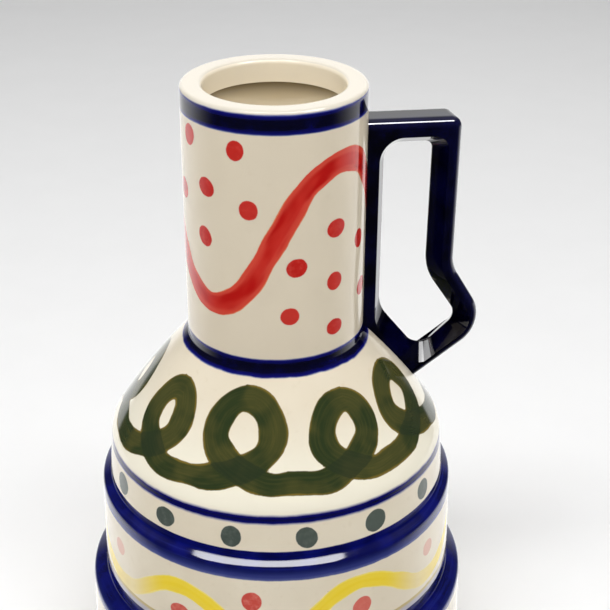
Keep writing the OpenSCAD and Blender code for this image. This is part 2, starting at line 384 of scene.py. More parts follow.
class Painted:
    """The painted side of a turned piece: its vertices and normals, and the fields kept on it."""

    def __init__(self, obj, line, columns):
        self.obj = obj
        self.count = len(line) * columns
        self.line = line
        a = np.linspace(0, 2 * math.pi, columns, endpoint=False)
        t = np.gradient(line, axis=0)
        n = np.column_stack([t[:, 1], -t[:, 0]])
        n /= np.linalg.norm(n, axis=1)[:, None]
        self.z = np.repeat(line[:, 1], columns)
        self.turn = np.tile(np.degrees(a), len(line))
        self.lengths = np.concatenate([[0], np.cumsum(np.linalg.norm(np.diff(line, axis=0), axis=1))])
        self.points = turned(line, a)
        self.normals = turned(n, a)

    def keep(self, name, values):
        whole = np.full(len(self.obj.data.vertices), FAR)
        whole[: self.count] = values
        store(self.obj, name, whole)

    def keep_stroke(self, name, fields):
        for suffix, values in zip(("", "_across", "_along"), fields):
            self.keep(name + suffix, values)

    def on(self, path):
        """Points of a path, given as turns in degrees and levels, on this side."""
        path = np.array(path, float)
        r = np.interp(path[:, 1], self.line[:, 1], self.line[:, 0])
        a = np.radians(path[:, 0])
        return np.column_stack([r * np.cos(a), r * np.sin(a), path[:, 1]])

    def length_at(self, z):
        """Length along the painted line, from its foot, where it reaches a level."""
        levels = self.line[:, 1]
        return np.interp(z, levels, self.lengths) + z - np.clip(z, levels[0], levels[-1])

    def band(self, name, bottom, top):
        """Distance outside a band between two levels, less than zero inside it."""
        s = self.length_at(self.z)
        self.keep(name, np.maximum(self.length_at(bottom) - s, s - self.length_at(top)))

    def near(self, name, turns):
        """Degrees round the vase to the nearest of some turns."""
        apart = (self.turn[:, None] - np.array(turns) + 180) % 360 - 180
        self.keep(name, np.abs(apart).min(1))

    def dots(self, name, places, size, seed, faint=()):
        """Distance outside the nearest dot. Each dot is a little oval, and has its own tone. The faint
        dots are smaller, and paled as painted reflection.
        """
        rng = np.random.default_rng(seed)
        best = np.full(self.count, FAR)
        tone = np.zeros(self.count)
        for i, c in enumerate(self.on(places)):
            e1 = np.array([-c[1], c[0], 0]) / math.hypot(c[0], c[1])
            stretch = 1 + rng.uniform(-0.08, 0.1)
            slant = rng.uniform(-0.5, 0.5)
            shade = rng.uniform(0, 1) + (i in faint)
            delta = self.points - c
            a = delta @ e1
            b = np.sqrt(np.maximum((delta * delta).sum(1) - a * a, 0)) * np.sign(delta[:, 2])
            x = a * math.cos(slant) + b * math.sin(slant)
            y = b * math.cos(slant) - a * math.sin(slant)
            reach = size * rng.uniform(0.93, 1.07) * (PALED_DOT_SIZE if i in faint else 1)
            d = np.hypot(x / stretch, y * stretch) - reach
            tone = np.where(d < best, shade, tone)
            best = np.minimum(best, d)
        self.keep(name, best)
        self.keep(name + "_tone", tone)

    def stroke(self, paths, half, swag=None):
        """Distance outside the nearest of some brush strokes, with the place across and along it."""
        q, t, s, w, ends = [], [], [], [], []
        for path, start in paths:
            p = self.on(path)
            gaps = np.linalg.norm(np.diff(p, axis=0), axis=1)
            q.append(p)
            t.append(np.gradient(p, axis=0))
            drawn = np.concatenate([[0], np.cumsum(gaps)])
            s.append(start + drawn)
            w.append(half * slimmed(drawn, swag))
            mark = np.zeros(len(p), bool)
            mark[[0, -1]] = True
            ends.append(mark)
        q, t, s, w, ends = map(np.concatenate, (q, t, s, w, ends))
        t /= np.linalg.norm(t, axis=1)[:, None]
        edge, across, along = (np.full(self.count, FAR) for _ in range(3))
        reach = half * 3
        near = np.flatnonzero((self.z > q[:, 2].min() - reach) & (self.z < q[:, 2].max() + reach))
        for part in np.array_split(near, max(1, len(near) // CHUNK)):
            p = self.points[part]
            k = ((p[:, None] - q[None]) ** 2).sum(2).argmin(1)
            delta = p - q[k]
            ahead = (delta * t[k]).sum(1)
            apart = np.linalg.norm(delta, axis=1)
            beside = np.sqrt(np.maximum(apart**2 - ahead**2, 0))
            beside[ends[k] & (np.abs(ahead) > OVERLAP)] = FAR
            side = np.cross(self.normals[part], t[k])
            along[part] = s[k] + ahead
            width = w[k] * (1 + 0.05 * np.sin(0.13 * s[k] + 1.3) + 0.04 * np.sin(0.31 * s[k]))
            edge[part] = beside - width
            across[part] = np.clip((delta * side).sum(1), -FAR, FAR)
        return edge, across, along


def closed_curve(points, per):
    """A smooth curve, with an even change of bend, through points that go once round the vase."""
    p = np.array(points, float)
    n = len(p)
    q = np.vstack([p, p[0] + [360, 0]])
    h = np.sqrt(np.linalg.norm(np.diff(q, axis=0), axis=1))
    rise = np.diff(q, axis=0) / h[:, None]
    rows = np.zeros((n, n))
    for i in range(n):
        rows[i, i] = 2 * (h[i - 1] + h[i])
        rows[i, i - 1] += h[i - 1]
        rows[i, (i + 1) % n] += h[i]
    bends = np.linalg.solve(rows, 6 * (rise - np.roll(rise, 1, 0)))
    bends = np.vstack([bends, bends[:1]])
    t = np.linspace(0, 1, per, endpoint=False)[:, None]
    out = []
    for i in range(n):
        u = 1 - t
        out.append(u * q[i] + t * q[i + 1]
                   + h[i] ** 2 / 6 * ((u**3 - u) * bends[i] + (t**3 - t) * bends[i + 1]))
    return np.vstack(out + [q[-1:]])


# Decoration: turns in degrees from the handle, anticlockwise from above, and levels in millimetres

WAVE = [
    (-181, 262), (-174.6, 254), (-165, 247), (-155, 241.5), (-141, 240.5), (-124, 250), (-115, 261),
    (-107.6, 272), (-93.7, 292), (-84, 303), (-69, 310.5), (-56, 312), (-43, 308.5), (-34, 301),
    (-22, 287), (-11, 273),
]
WAVE_HALF = 5.8
NECK_DOTS = [
    (-166, 321.4), (-128.2, 320.4), (-149.7, 299.2), (-177.2, 291.8), (-120.5, 292), (-152, 273.7),
    (-64.7, 279.3), (-40.9, 267.5), (-91.5, 262.8), (-65.5, 251.8), (-34.7, 239.9), (-95.8, 237.5),
    (-64.9, 226.9),
]
NECK_DOT = 4.9
STRAP_CLEAR = 16.0
# Each loop: the swag before it (turn, level), its middle (turn, level), half width and height, lean
LOOPS = [
    (-173.5, 162.3, -157.3, 180, 8.9, 12.8, 0), (-138, 164.2, -118.2, 183, 12.4, 14, 0),
    (-98.5, 165.7, -74.9, 180.8, 10.6, 12.6, 2.3), (-60.5, 165.1, -38, 181.2, 11, 12, 2),
    (-17, 162.5, 19, 182, 10, 12.4, 2), (39, 163.6, 56, 183, 11, 12.8, -2),
    (75, 162.4, 92, 182, 9.6, 12, 2), (110, 164, 128, 183, 11, 12.6, -1),
    (147, 163, 161, 179.5, 9.5, 12, -2),
]
LOOP_SHAPE = [
    (-0.95, -1.27), (-0.02, -0.94), (0.8, -0.38), (1, 0.2), (0.66, 0.82), (0, 1.04),
    (-0.66, 0.82), (-1, 0.2), (-0.8, -0.38), (0.02, -0.94), (0.95, -1.27),
]
LOOP_TOP = 5
LOOP_HALF = 6.8
SWAG_SLIM = 0.2
SWAG_REACH = 26.0
CROSSING_GAP = 20.0
LAST_STROKE = 30.0
BAND_DOTS = [(-143.2 + 24 * k, 139.5) for k in range(15)]
BAND_DOT = 5.9
YELLOW = [
    (-162, 86), (-152.9, 90.8), (-145.5, 99.6), (-137, 105.2), (-128.6, 102.3), (-118, 90),
    (-108, 83), (-97.5, 90), (-87.5, 105), (-79.2, 110), (-71.5, 107.2), (-63.2, 99.6),
    (-56.5, 92.7), (-50, 89.5), (-42, 90.5), (-32, 97.5), (-20, 106.5),
]
YELLOW_BACK = [(-4.5, 98), (11.5, 86), (27.5, 98), (42.5, 108), (58.5, 98), (74, 85.5), (89.5, 97),
               (105, 107.5), (121, 98), (136.5, 86), (151, 97), (166, 105), (181, 94)]
WAVE_THIN_TURNS = -157, -54, 46, 146
YELLOW_HALF = 4.6
TIER_DOTS = [
    (-164.3, 104.9), (-135.7, 89.2), (-112.3, 105.4), (-77.9, 94.6), (-48.6, 106.3), (-19, 94),
    (9, 105.5), (43.5, 93), (71, 105), (106, 93.5), (134, 106), (167, 93),
]
TIER_DOT = 5.6
# Two of the tier's dots, at its sides, are smaller, and their paleness is painted reflection
REFLECTION_PALED_DOTS = 0, 4
PALED_DOT_SIZE = 0.82
# The height of the painted shade strip on the tier's foot, the levels where the shoulder's band of
# painted light starts and ends, and the depth of the brown painted shade under the rim
FOOT_SHADE_H = 5.0
PAINTED_LIGHT_FROM = 149.5, 155.0
PAINTED_LIGHT_TO = 166.0, 196.0
RIM_SHADE_POOL_H = 10.0
LOWER_DOTS = [(-150 + 22.5 * k, 42) for k in range(16)]
RIM_BLUE = 328.7, 338.4
NECK_BLUE = 205.6, 214.2
SHOULDER_LINE = 147.6, 152.4
LOWER_LINE = 24.0, 27.5
# How far a roll's blue starts above its foot, and its dull hollow below the collar
FADE_UP = 0.4
HOLLOW_DOWN = 0.6


def neck_wave():
    second = [(a + 180, z) for a, z in WAVE]
    return closed_curve(WAVE + second, per=14)


def loop_passes():
    """The green line as two sets of strokes: up to each loop's top, and from there to the next."""
    per = 10
    points = []
    for swag_turn, swag_z, turn, z, w, h, lean in LOOPS:
        points.append((swag_turn, swag_z))
        points += [(turn + u * w + lean * v, z + v * h) for u, v in LOOP_SHAPE]
    curve = closed_curve(points, per)
    stride = (len(LOOP_SHAPE) + 1) * per
    top = (LOOP_TOP + 1) * per
    first = [curve[i * stride: i * stride + top + 1] for i in range(len(LOOPS))]
    second = [curve[i * stride + top: (i + 1) * stride + 1] for i in range(len(LOOPS))]
    return first, second


def numbered(surface, sets):
    """Strokes with the length at which each starts, as if all were drawn in one go."""
    at = 0
    out = [[] for _ in sets]
    for group in zip(*sets):
        for kept, path in zip(out, group):
            kept.append((path, at))
            p = surface.on(path)
            at += np.linalg.norm(np.diff(p, axis=0), axis=1).sum()
    return out


# Materials

def linear(code):
    rgb = [int(code[i: i + 2], 16) / 255 for i in (1, 3, 5)]
    return tuple(c / 12.92 if c <= 0.04045 else ((c + 0.055) / 1.055) ** 2.4 for c in rgb) + (1,)


class Nodes:
    """The node tree of a material or of the sky. An input is a plain value or another node's output."""

    def __init__(self, owner):
        owner.use_nodes = True
        self.tree = owner.node_tree
        self.tree.nodes.clear()

    def add(self, kind, inputs=None, **props):
        node = self.tree.nodes.new("ShaderNode" + kind)
        for key, value in props.items():
            setattr(node, key, value)
        for key, value in (inputs or {}).items():
            self.feed(node.inputs[key], value)
        return node

    def feed(self, socket, value):
        if isinstance(value, bpy.types.NodeSocket):
            self.tree.links.new(value, socket)
        else:
            socket.default_value = value

    def vector(self, op, a, b=(0, 0, 0), out="Vector"):
        return self.add("VectorMath", {0: a, 1: b}, operation=op).outputs[out]

    def between(self, value, start, end, a, b):
        """Goes smoothly from a to b while the value goes from start to end."""
        inputs = {0: value, 1: start, 2: end, 3: a, 4: b}
        return self.add("MapRange", inputs, interpolation_type="SMOOTHSTEP").outputs[0]


class Shader(Nodes):
    """A procedural material, with short calls for the nodes that the glazes share."""

    def __init__(self, name):
        self.mat = bpy.data.materials.new(name)
        super().__init__(self.mat)
        self.bsdf = self.add("BsdfPrincipled")
        self.add("OutputMaterial", {0: self.bsdf.outputs[0]})
        self.place = self.add("TexCoord").outputs["Object"]

    def math(self, op, a, b=0.0):
        return self.add("Math", {0: a, 1: b}, operation=op).outputs[0]

    def scaled(self, value, by, plus):
        """The value times one number, plus another."""
        return self.add("Math", {0: value, 1: by, 2: plus}, operation="MULTIPLY_ADD").outputs[0]

    def height(self):
        return self.add("SeparateXYZ", {0: self.place}).outputs["Z"]

    def field(self, name):
        return self.add("Attribute", attribute_name=name).outputs["Fac"]

    def noise(self, size, detail=2.0, stretch=(1, 1, 1), place=None, length=MM):
        """Noise with features of about that size, in mm, longer along a stretched axis."""
        scale = [1 / (size * length * s) for s in stretch]
        where = self.vector("MULTIPLY", place or self.place, scale)
        return self.add("TexNoise", {"Vector": where, "Scale": 1.0, "Detail": detail}).outputs[0]

    def rise(self, value, start, end):
        """0 up to start, 1 from end, smooth between."""
        return self.between(value, start, end, 0.0, 1.0)

    def mix(self, factor, a, b):
        return self.add("Mix", {0: factor, 6: a, 7: b}, data_type="RGBA").outputs[2]

    def wobble(self, edge, amount, size):
        """Makes a painted edge a little uneven."""
        n = self.math("SUBTRACT", self.noise(size, 3.0), 0.5)
        return self.math("ADD", edge, self.math("MULTIPLY", n, amount))

    def inside(self, edge, soft):
        """1 inside a painted edge, 0 outside it."""
        return self.math("SUBTRACT", 1.0, self.rise(edge, -soft, soft))

    def glaze(self, colour, roughness=0.07, wave=0.002):
        """Finishes a glazed material: colour, gloss and the slow waves of a poured glaze."""
        self.feed(self.bsdf.inputs["Base Color"], colour)
        uneven = self.scaled(self.noise(9, 3.0), 0.05, roughness - 0.02)
        self.feed(self.bsdf.inputs["Roughness"], uneven)
        self.bsdf.inputs["IOR"].default_value = 1.52
        slow = self.noise(26, 1.0)
        fine = self.math("MULTIPLY", self.noise(5, 2.0), 0.06)
        height = self.math("MULTIPLY", self.math("ADD", slow, fine), wave * MM * 10)
        bump = self.add("Bump", {"Strength": 1.0, "Distance": 1.0, "Height": height})
        self.feed(self.bsdf.inputs["Normal"], bump.outputs[0])
        return self.mat


def cream(s):
    """The body's cream glaze: slow changes of tone, and a few tiny iron specks."""
    tone = s.mix(s.rise(s.noise(38, 2.0), 0.35, 0.68), linear("#EDE2CC"), linear("#E9DDC6"))
    tone = s.mix(s.rise(s.noise(4, 4.0), 0.55, 1.0), tone, linear("#E0D3B8"))
    cells = s.add("TexVoronoi", {"Vector": s.place, "Scale": 130.0, "Randomness": 1.0}, feature="F1")
    speck = s.math("SUBTRACT", 1.0, s.rise(cells.outputs["Distance"], 0.02, 0.05))
    few = s.rise(s.noise(14, 1.0), 0.6, 0.7)
    return s.mix(s.math("MULTIPLY", speck, s.math("MULTIPLY", few, 0.6)), tone, linear("#7A5A38"))


def inside_light_and_rim_shade(s, colour, r):
    """Painted light: a paler glaze on what lies nearer to the axis than r. Under the rim it turns
    brown: painted shade of the rim's overhang, with glaze gathered there.
    """
    away = s.vector("LENGTH", s.vector("MULTIPLY", s.place, (1, 1, 0)), out="Value")
    height = s.height()
    below = s.math("LESS_THAN", height, Z_RIM * MM)
    # Painted shade: brown under the rim's overhang, with glaze gathered there. Painted light: the paler
    # inside glaze.
    rim_shade_and_pool = s.math("MULTIPLY", s.rise(height, (Z_RIM - RIM_SHADE_POOL_H) * MM, Z_RIM * MM), below)
    painted_light = s.mix(rim_shade_and_pool, linear("#FDF3DE"), linear("#6C5A33"))
    return s.mix(s.rise(away, (r - 0.5) * MM, r * MM), painted_light, colour)


def cobalt(s, depth):
    """Brushed cobalt: watery at its edge, almost black inside, with faint lines round the vase."""
    lines = s.math("SUBTRACT", s.noise(1.0, 2.0, (40, 40, 0.9)), 0.5)
    d = s.math("ADD", depth, s.math("MULTIPLY", lines, 0.9))
    thin = s.mix(s.rise(d, 0.0, 0.9), linear("#4A55A0"), linear("#0B0D66"))
    deep = s.mix(s.rise(d, 0.7, 3.0), thin, linear("#02021E"))
    pool = s.rise(s.noise(12, 2.0), 0.5, 0.75)
    return s.mix(s.math("MULTIPLY", pool, 0.6), deep, linear("#050656"))


def blue_over(s, under, name, soft=0.45, uneven=0.5):
    """Cobalt inside the named field's edge, over what lies under it."""
    edge = s.wobble(s.field(name), uneven, 7)
    depth = s.math("MULTIPLY", edge, -1.0)
    return s.mix(s.inside(edge, soft), under, cobalt(s, depth))


def dots_over(s, under, name, dark, light):
    """Dots of uneven tone. A tone above 1 marks a faint dot, which is half see-through: a painted
    reflection.
    """
    edge = s.wobble(s.field(name), 0.7, 3.5)
    tone = s.mix(s.field(name + "_tone"), dark, light)
    tone = s.mix(s.rise(s.noise(3.0, 3.0), 0.42, 0.75), tone, light)
    thin = s.math("MULTIPLY", s.rise(s.field(name + "_tone"), 1.0, 1.01), 0.5)
    cover = s.math("MULTIPLY", s.inside(edge, 0.28), s.math("SUBTRACT", 1.0, thin))
    return s.mix(cover, under, tone)


def streaks(s, name, stretch, size, detail=3.0):
    """Bristle marks along a stroke, stretched across and along it."""
    place = s.add("CombineXYZ", {0: s.field(name + "_across"), 1: s.field(name + "_along")})
    return s.noise(size, detail, (*stretch, 1), place.outputs[0], length=1.0)


def rim_glaze():
    s = Shader("rim_glaze")
    # Painted shade: the rim's cream is mixed a little towards grey, to tone down its brightly lit top
    colour = inside_light_and_rim_shade(s, s.mix(0.85, cream(s), linear("#DFD8CA")), MOUTH_R + 1)
    return s.glaze(blue_over(s, colour, "blue"))


def neck_glaze():
    s = Shader("neck_glaze")
    colour = inside_light_and_rim_shade(s, s.mix(0.7, cream(s), linear("#E4D7C0")), NECK_R - 1)
    edge = s.wobble(s.field("wave"), 0.7, 5)
    depth = s.math("MULTIPLY", edge, -1.0)
    marks = streaks(s, "wave", (1, 26), 1.5)
    load = s.math("ADD", depth, s.math("MULTIPLY", s.math("SUBTRACT", marks, 0.5), 2.6))
    red = s.mix(s.rise(load, -0.4, 0.7), linear("#E08A58"), linear("#D84A3A"))
    red = s.mix(s.rise(load, 1.2, 4.5), red, linear("#CE3026"))
    long = streaks(s, "wave", (12, 34), 1, 2.0)
    core_red = s.math("MULTIPLY", s.rise(long, 0.44, 0.6), s.rise(depth, 0.8, 2.6))
    red = s.mix(core_red, red, linear("#BD1510"))
    colour = s.mix(s.inside(edge, 0.28), colour, red)
    colour = dots_over(s, colour, "dots", linear("#C21A17"), linear("#CF3A31"))
    return s.glaze(blue_over(s, colour, "blue"))


def green(s):
    """Green-brown brushwork: bristle lines, thin golden edges, dark where the brush was full."""
    marks = streaks(s, "loops", (1, 18), 1.1)
    depth = s.math("MULTIPLY", s.field("loops"), -1.0)
    full = s.rise(s.noise(20, 2.0), 0.4, 0.6)
    thin = s.math("MULTIPLY", s.math("SUBTRACT", 1.0, full), 0.6)
    thin = s.math("ADD", thin, s.math("MULTIPLY", s.rise(marks, 0.38, 0.74), 0.35))
    body = s.mix(thin, linear("#2E3A20"), linear("#525029"))
    load = s.math("ADD", depth, s.math("MULTIPLY", s.math("SUBTRACT", marks, 0.5), 1.6))
    load = s.math("ADD", load, s.math("MULTIPLY", full, 0.7))
    return s.mix(s.rise(load, 0.3, 1.5), linear("#7C692C"), body)


def shoulder_glaze():
    s = Shader("shoulder_glaze")
    edge = s.wobble(s.field("loops"), 0.8, 6)
    height = s.height()
    # Painted light: a paler cream in a band low on the shoulder's slope
    starts, ends = (s.rise(height, a * MM, b * MM) for a, b in (PAINTED_LIGHT_FROM, PAINTED_LIGHT_TO))
    painted_light = s.math("SUBTRACT", starts, ends)
    ground = s.mix(s.math("MULTIPLY", painted_light, 0.8), cream(s), linear("#FAF5E2"))
    colour = s.mix(s.inside(edge, 0.25), ground, green(s))
    twice = s.wobble(s.field("crossing"), 0.8, 6)
    colour = s.mix(s.math("MULTIPLY", s.inside(twice, 0.4), 0.65), colour, linear("#2A3523"))
    colour = dots_over(s, colour, "dots", linear("#3E4742"), linear("#5A635C"))
    colour = blue_over(s, colour, "line", 0.9, 0.8)
    colour = blue_over(s, colour, "foot", 0.3, 0.4)
    return s.glaze(blue_over(s, colour, "blue", 0.5, 1.3))


def roll_glaze():
    """The rolls' blue: crisp over the collar, thin and watery down the wall under the edge."""
    s = Shader("roll_glaze")
    low_edge = s.wobble(s.field("fade"), 0.9, 7)
    depth = s.math("MULTIPLY", low_edge, -1.0)
    lines = s.noise(1.0, 2.0, (40, 40, 0.9))
    depth = s.math("ADD", depth, s.math("MULTIPLY", s.math("SUBTRACT", lines, 0.5), 1.2))
    watery = s.mix(s.rise(depth, 0.0, 2.2), linear("#5C649A"), linear("#343C80"))
    watery = s.mix(s.rise(depth, 1.6, 5.4), watery, linear("#141C5C"))
    full = s.mix(s.rise(s.noise(14, 2.0), 0.4, 0.65), linear("#060A4C"), linear("#0A1066"))
    full = s.mix(s.math("MULTIPLY", s.rise(lines, 0.5, 0.75), 0.6), full, linear("#1A247C"))
    blue = s.mix(s.rise(depth, 4.6, 7.0), watery, full)
    colour = s.mix(s.inside(low_edge, 0.35), cream(s), blue)
    top_edge = s.wobble(s.field("blue"), 0.4, 7)
    gloss = s.scaled(s.inside(s.field("hollow"), 0.6), -0.55, 0.65)
    s.feed(s.bsdf.inputs["Specular IOR Level"], gloss)
    return s.glaze(s.mix(s.inside(top_edge, 0.3), cream(s), colour), wave=0.001)


def middle_glaze():
    """The tier's yellow wave, thinner near a few turns, and a strip of painted shade on its foot."""
    s = Shader("middle_glaze")
    colour = cream(s)
    edge = s.wobble(s.field("wave"), 0.9, 6)
    depth = s.math("MULTIPLY", edge, -1.0)
    marks = streaks(s, "wave", (1, 30), 1.4)
    load = s.math("ADD", depth, s.math("MULTIPLY", s.math("SUBTRACT", marks, 0.5), 2.4))
    yellow = s.mix(s.rise(load, 0.0, 1.0), linear("#FBE67C"), linear("#FADD46"))
    yellow = s.mix(s.rise(load, 2.6, 4.8), yellow, linear("#F8D93A"))
    # The wave is thinner near a few given turns round the vase
    cover = s.scaled(s.rise(s.field("wave_thin"), -2.0, 16.0), 0.6, 0.4)
    colour = s.mix(s.math("MULTIPLY", s.inside(edge, 0.3), cover), colour, yellow)
    colour = dots_over(s, colour, "dots", linear("#CC4038"), linear("#DE7A6C"))
    # Painted shade: a grey strip on the tier's foot, with an ochre line along its top edge
    foot_shade = s.wobble(s.field("foot_shade"), 0.8, 7)
    thin = s.mix(s.rise(foot_shade, -3.6, -0.6), linear("#BAB6C2"), linear("#C9B47C"))
    colour = s.mix(s.inside(foot_shade, 0.5), colour, thin)
    return s.glaze(blue_over(s, colour, "foot", 0.3, 0.4))


def lower_glaze():
    s = Shader("lower_glaze")
    colour = dots_over(s, cream(s), "dots", linear("#3E4742"), linear("#5A635C"))
    return s.glaze(blue_over(s, colour, "line", 0.7, 0.8))


def cream_glaze():
    s = Shader("cream_glaze")
    return s.glaze(cream(s))


def navy_glaze():
    """The handle's glaze: almost black where it lies thick, cobalt where it thins on the edges."""
    s = Shader("navy_glaze")
    pool = s.rise(s.noise(16, 2.0), 0.42, 0.72)
    colour = s.mix(s.math("MULTIPLY", pool, 0.75), linear("#01010C"), linear("#05052E"))
    colour = s.mix(s.math("MULTIPLY", s.field("edge"), 0.7), colour, linear("#0A0A3A"))
    s.feed(s.bsdf.inputs["Specular IOR Level"], s.scaled(s.field("edge"), 0.6, 0.36))
    return s.glaze(colour, 0.06, 0.003)


def bare_clay():
    """Unglazed fired clay: rough, buff, with grains."""
    s = Shader("bare_clay")
    tone = s.mix(s.rise(s.noise(7, 4.0), 0.3, 0.7), linear("#D8C6A8"), linear("#C4AE8C"))
    grain = s.noise(0.7, 3.0)
    tone = s.mix(s.rise(grain, 0.62, 0.75), tone, linear("#9C8360"))
    s.feed(s.bsdf.inputs["Base Color"], tone)
    s.bsdf.inputs["Roughness"].default_value = 0.85
    bump = s.add("Bump", {"Strength": 0.5, "Distance": 0.0004, "Height": grain})
    s.feed(s.bsdf.inputs["Normal"], bump.outputs[0])
    return s.mat


def dress(obj, material, node):
    """Gives a piece its material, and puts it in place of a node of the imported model."""
    obj.data.materials.append(material)
    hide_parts(node)
    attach(obj, "root")


# The turned pieces

rim = lathe("rim_turned", rim_section(), NECK_COLUMNS)
Painted(rim, rim_line(), NECK_COLUMNS).band("blue", *RIM_BLUE)
dress(rim, rim_glaze(), "rim")

neck = lathe("neck_turned", neck_section(), NECK_COLUMNS)
side = Painted(neck, neck_line(), NECK_COLUMNS)
side.keep_stroke("wave", side.stroke([(neck_wave(), 0)], WAVE_HALF))
back_dots = [(a + 180, z) for a, z in NECK_DOTS if abs(a + 180) > STRAP_CLEAR]
side.dots("dots", NECK_DOTS + back_dots, NECK_DOT, seed=3)
side.band("blue", *NECK_BLUE)
dress(neck, neck_glaze(), "neck")

shoulder = lathe("shoulder_turned", shoulder_section(), BODY_COLUMNS)
side = Painted(shoulder, shoulder_line(), BODY_COLUMNS)
first, second = numbered(side, loop_passes())
under = side.stroke(first, LOOP_HALF, swag=0)
over = side.stroke(second, LOOP_HALF, swag=-1)
on_top = over[0] < np.maximum(under[0], 0)
side.keep("loops", np.minimum(under[0], over[0]))
side.keep("loops_across", np.where(on_top, over[1], under[1]))
side.keep("loops_along", np.where(on_top, over[2], under[2]))
apart = np.abs(under[2] - over[2])
length = max(start for path, start in second) + LAST_STROKE
apart = np.minimum(apart, length - apart)
side.keep("crossing", np.where(apart > CROSSING_GAP, np.maximum(under[0], over[0]), FAR))
side.dots("dots", BAND_DOTS, BAND_DOT, seed=5)
side.band("line", *SHOULDER_LINE)
side.band("foot", 0, Z_BAND)
side.band("blue", *NECK_BLUE)
dress(shoulder, shoulder_glaze(), "shoulder")


def make_roll(name, line, ledge_z):
    """A roll, with the fields for its blue, for the blue's thin lower edge and for the hollow."""
    low_z = line[0][1]
    top_r, top = line[-1]
    inner = top_r - WALL
    obj = lathe(name, tube(line, (inner, top), (inner, low_z)), BODY_COLUMNS)
    painted = Painted(obj, line, BODY_COLUMNS)
    painted.band("blue", 0, top)
    painted.band("fade", low_z + FADE_UP, Z_TOP)
    painted.band("hollow", ledge_z - HOLLOW_DOWN, Z_TOP)
    return obj


rolled = roll_glaze()
middle_roll = make_roll("middle_roll_turned", middle_roll_line(), MIDDLE_LEDGE_Z)
dress(middle_roll, rolled, "middle_roll")
lower_roll = make_roll("lower_roll_turned", lower_roll_line(), LOWER_LEDGE_Z)
dress(lower_roll, rolled, "lower_roll")

line = middle_tier_line()
section = tube(line, (MIDDLE_WALL_R - WALL, Z_MIDDLE_ROLL), (MIDDLE_FOOT_R - WALL, Z_MIDDLE))
middle_tier = lathe("middle_tier_turned", section, BODY_COLUMNS)
side = Painted(middle_tier, line, BODY_COLUMNS)
yellow_wave = closed_curve(YELLOW + YELLOW_BACK, per=12)
side.keep_stroke("wave", side.stroke([(yellow_wave, 0)], YELLOW_HALF))
side.dots("dots", TIER_DOTS, TIER_DOT, seed=8, faint=REFLECTION_PALED_DOTS)
side.band("foot", 0, Z_MIDDLE)
side.band("foot_shade", 0, Z_MIDDLE + FOOT_SHADE_H)
side.near("wave_thin", WAVE_THIN_TURNS)
dress(middle_tier, middle_glaze(), "middle_tier")

lower_tier = lathe("lower_tier_turned", lower_tier_section(), BODY_COLUMNS)
side = Painted(lower_tier, lower_tier_line(), BODY_COLUMNS)
side.dots("dots", LOWER_DOTS, BAND_DOT, seed=9)
side.band("line", *LOWER_LINE)
dress(lower_tier, lower_glaze(), "lower_tier")

base_disc = lathe("base_disc_turned", disc_section(), BODY_COLUMNS // 2, capped=True)
dress(base_disc, cream_glaze(), "base_disc")

foot_ring = lathe("foot_ring_turned", foot_section(), BODY_COLUMNS // 2)
dress(foot_ring, bare_clay(), "foot_ring")


# The handle: sizes as in the part, apart from the roundings and bevels

HANDLE_T = 19.5
HANDLE_ROUND = 4.6
FINGER_D = 5.5
FOOT_D = 8.8
FOOT_OUT = 4.5
FINGER_POWER = 2.0
HANDLE_DROP = 21.3
ARM_SLOPE = math.tan(math.radians(2.9))
ARM_W = 14.5
GRIP_REACH = 49.3
GRIP_X = NECK_R + GRIP_REACH
GRIP_W = 13.0
GRIP_LEAN = 0.5
BEND_UP = 26.0
ELBOW_REACH = 71.0
ELBOW_DROP = 10.5
ELBOW_W = 11.6
LOWER_ARM_SLOPE = math.tan(math.radians(33))
STRAP_T = 11.1
FOOT_BAR_T = 11.5
FOOT_BAR_L = 40.6
SINK = 7.0
ARM_END = 13.0
BURY = 0.7
# Roundings of the six corners: strap top, grip top, bend, elbow, the foot's end, strap bottom
OUTER_ROUNDS = (6, 5.5, 20, 18.4, 6, 6)
GAP_ROUNDS = (8, 4, 30, 7, 10, 19)
FACE_ROUNDS = (12, 8, 26, 11, 14, 23)
FINGER_FROM = 10
CORE_IN = 3.0
CORE_COLUMNS = 360
CORNER_STEPS = 14
EDGE_STEPS = 8
SUPPORT = 0.5


def left(v):
    return np.array([-v[1], v[0]])


def arm_z(x):
    return Z_TOP - HANDLE_DROP - (x - NECK_R) * ARM_SLOPE


def inside_corner(a, b, c, w):
    """The gap's corner beside corner b of the outer line, for a bar of width w."""
    n1, n2 = left(unit(b - a)), left(unit(c - b))
    return b - w * (n1 + n2) / (1 + n1 @ n2)


TOP = np.array([GRIP_X, arm_z(GRIP_X)])
BEND = np.array([GRIP_X - GRIP_LEAN, Z_NECK + BEND_UP])
ELBOW = np.array([NECK_R + ELBOW_REACH, Z_NECK - ELBOW_DROP])
ARM = ELBOW - (ELBOW_REACH - ARM_END) * np.array([1, LOWER_ARM_SLOPE])


def outer_corners():
    """Corners of the handle's outer line, in the XZ plane."""
    buried = NECK_R - SINK
    return [np.array([buried, arm_z(buried)]), TOP, BEND, ELBOW, ARM, np.array([buried, ELBOW[1]])]


def gap_corners(d, e, out):
    """The gap's corners where the bars are d thinner, and the one along the shoulder e."""
    slope = unit(RISE)
    up = left(slope)
    strap, arm, foot = STRAP_T - d, ARM_W - d, FOOT_BAR_T - e
    grip = GRIP_X - GRIP_W + d
    q = (strap - up[0] * foot) / slope[0]
    return [
        np.array([NECK_R + strap, arm_z(NECK_R + strap) - arm]),
        np.array([grip, arm_z(grip) - arm]),
        inside_corner(TOP, BEND, ELBOW, GRIP_W - d),
        inside_corner(BEND, ELBOW, ARM, ELBOW_W - d),
        NECK_P + (FOOT_BAR_L + out) * slope + foot * up,
        NECK_P + q * slope + foot * up,
    ]


